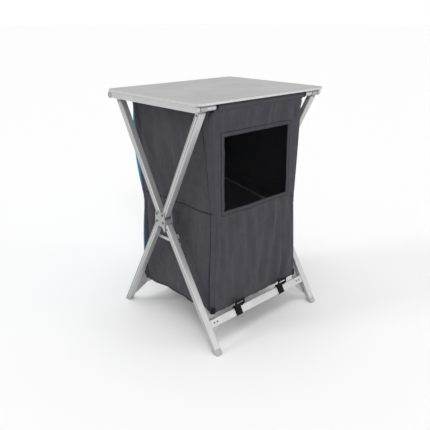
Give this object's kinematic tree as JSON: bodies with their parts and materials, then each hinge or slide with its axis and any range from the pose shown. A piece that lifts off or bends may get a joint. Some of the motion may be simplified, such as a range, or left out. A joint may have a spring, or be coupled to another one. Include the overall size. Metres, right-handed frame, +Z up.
{
  "type": "camp kitchen table",
  "caption": "Folding camp kitchen table: X-shaped aluminium side frames, a lift-off top and a fabric cupboard with shelves, a mesh window and a roll-up door.",
  "frame": {"origin": "on the floor, under the middle of the table", "axes": "+Z up; the door faces -Y and the mesh window faces +Y; +X is the right-hand side seen from the door"},
  "size_m": [0.57, 0.549, 0.82],
  "materials": {
    "laminate": "fine-textured light grey laminate",
    "edge_trim": "satin anodised",
    "aluminium_profile": "satin anodised, drawn lengthwise",
    "cast_alloy": "fine cast, slightly rough",
    "rivet_steel": "zinc plated",
    "shelf_board": "fabric-covered board",
    "grey_plastic": "moulded",
    "black_plastic": "moulded",
    "charcoal_fabric": "plain-weave polyester",
    "teal_fabric": "plain-weave polyester",
    "window_mesh": "fine black netting",
    "black_webbing": "ribbed webbing"
  },
  "bodies": {
    "cabinet_and_hubs": {"hub_outer_plate_right": "cast_alloy", "hub_outer_plate_left": "cast_alloy", "hub_inner_plate_right": "cast_alloy", "hub_inner_plate_left": "cast_alloy", "back_upper_pivot_rivet_right": "rivet_steel", "back_upper_pivot_rivet_left": "rivet_steel", "back_lower_pivot_rivet_right": "rivet_steel", "back_lower_pivot_rivet_left": "rivet_steel", "front_upper_pivot_rivet_right": "rivet_steel", "front_upper_pivot_rivet_left": "rivet_steel", "front_lower_pivot_rivet_right": "rivet_steel", "front_lower_pivot_rivet_left": "rivet_steel", "cabinet_back_panel": "charcoal_fabric", "cabinet_side_panel_right": "charcoal_fabric", "cabinet_side_panel_left": "charcoal_fabric", "window_mesh": "window_mesh", "front_surround": "teal_fabric", "door_flap": "teal_fabric", "mid_shelf": "shelf_board", "floor_shelf": "shelf_board"},
    "tabletop": {"tabletop_board": "laminate", "tabletop_edge_trim": "edge_trim", "tabletop_side_bar_right": "aluminium_profile", "tabletop_side_bar_left": "aluminium_profile"},
    "back_upper_frame": {"back_upper_leg_right": "aluminium_profile", "back_upper_leg_left": "aluminium_profile", "back_rail_bracket_right": "cast_alloy", "back_rail_bracket_left": "cast_alloy", "back_top_rail": "aluminium_profile", "back_rail_sleeve": "charcoal_fabric"},
    "back_lower_frame": {"back_lower_leg_right": "aluminium_profile", "back_lower_leg_left": "aluminium_profile", "back_knuckle_right": "cast_alloy", "back_knuckle_left": "cast_alloy", "back_foot_plug_right": "grey_plastic", "back_foot_plug_left": "grey_plastic", "back_rail_gusset_right": "cast_alloy", "back_rail_gusset_left": "cast_alloy", "back_bottom_rail": "aluminium_profile", "hem_strap_right": "black_webbing", "hem_strap_left": "black_webbing"},
    "front_upper_frame": {"front_upper_leg_right": "aluminium_profile", "front_upper_leg_left": "aluminium_profile", "front_rail_bracket_right": "cast_alloy", "front_rail_bracket_left": "cast_alloy", "front_top_rail": "aluminium_profile", "front_rail_sleeve": "charcoal_fabric"},
    "front_lower_frame": {"front_lower_leg_right": "aluminium_profile", "front_lower_leg_left": "aluminium_profile", "front_knuckle_right": "cast_alloy", "front_knuckle_left": "cast_alloy", "front_foot_plug_right": "grey_plastic", "front_foot_plug_left": "grey_plastic", "front_rail_gusset_right": "cast_alloy", "front_rail_gusset_left": "cast_alloy", "front_bottom_rail": "aluminium_profile"},
    "tie_bars": {"tie_bar_right": "aluminium_profile", "tie_bar_left": "aluminium_profile"},
    "door_sliders": {"door_zip_slider_right": "black_plastic", "door_zip_slider_left": "black_plastic"}
  },
  "joints": [
    {"name": "upper_fold", "type": "hinge", "parent": "cabinet_and_hubs", "child": "back_upper_frame", "pos_m": [0, 0.0147, 0.432], "axis": [1, 0, 0], "range_deg": [0, 28]},
    {"name": "front_upper_fold", "type": "hinge", "parent": "cabinet_and_hubs", "child": "front_upper_frame", "pos_m": [0, -0.0147, 0.432], "axis": [-1, 0, 0], "range_deg": [0, 28]},
    {"name": "tabletop_lift", "type": "slide", "parent": "cabinet_and_hubs", "child": "tabletop", "axis": [0, 0, 1], "range_m": [0, 0.2771]},
    {"name": "back_leg_fold", "type": "hinge", "parent": "cabinet_and_hubs", "child": "back_lower_frame", "pos_m": [0, 0.0163, 0.405], "axis": [1, 0, 0], "range_deg": [0, 95]},
    {"name": "front_leg_fold", "type": "hinge", "parent": "cabinet_and_hubs", "child": "front_lower_frame", "pos_m": [0, -0.0163, 0.405], "axis": [-1, 0, 0], "range_deg": [0, 95]},
    {"name": "tie_bar_fold", "type": "hinge", "parent": "front_lower_frame", "child": "tie_bars", "pos_m": [0, -0.06064, 0.332], "axis": [-1, 0, 0], "range_deg": [0, 121.5]},
    {"name": "door_slide", "type": "slide", "parent": "cabinet_and_hubs", "child": "door_sliders", "axis": [0, 0, 1], "range_m": [0, 0.565], "deforming": ["door_flap"]}
  ],
  "couplings": [
    {"joint": "front_upper_fold", "follows": "upper_fold", "ratio": 1},
    {"joint": "tabletop_lift", "follows": "upper_fold", "m_per_rad": 0.565},
    {"joint": "tie_bar_fold", "follows": "front_leg_fold", "ratio": 1.2768}
  ]
}
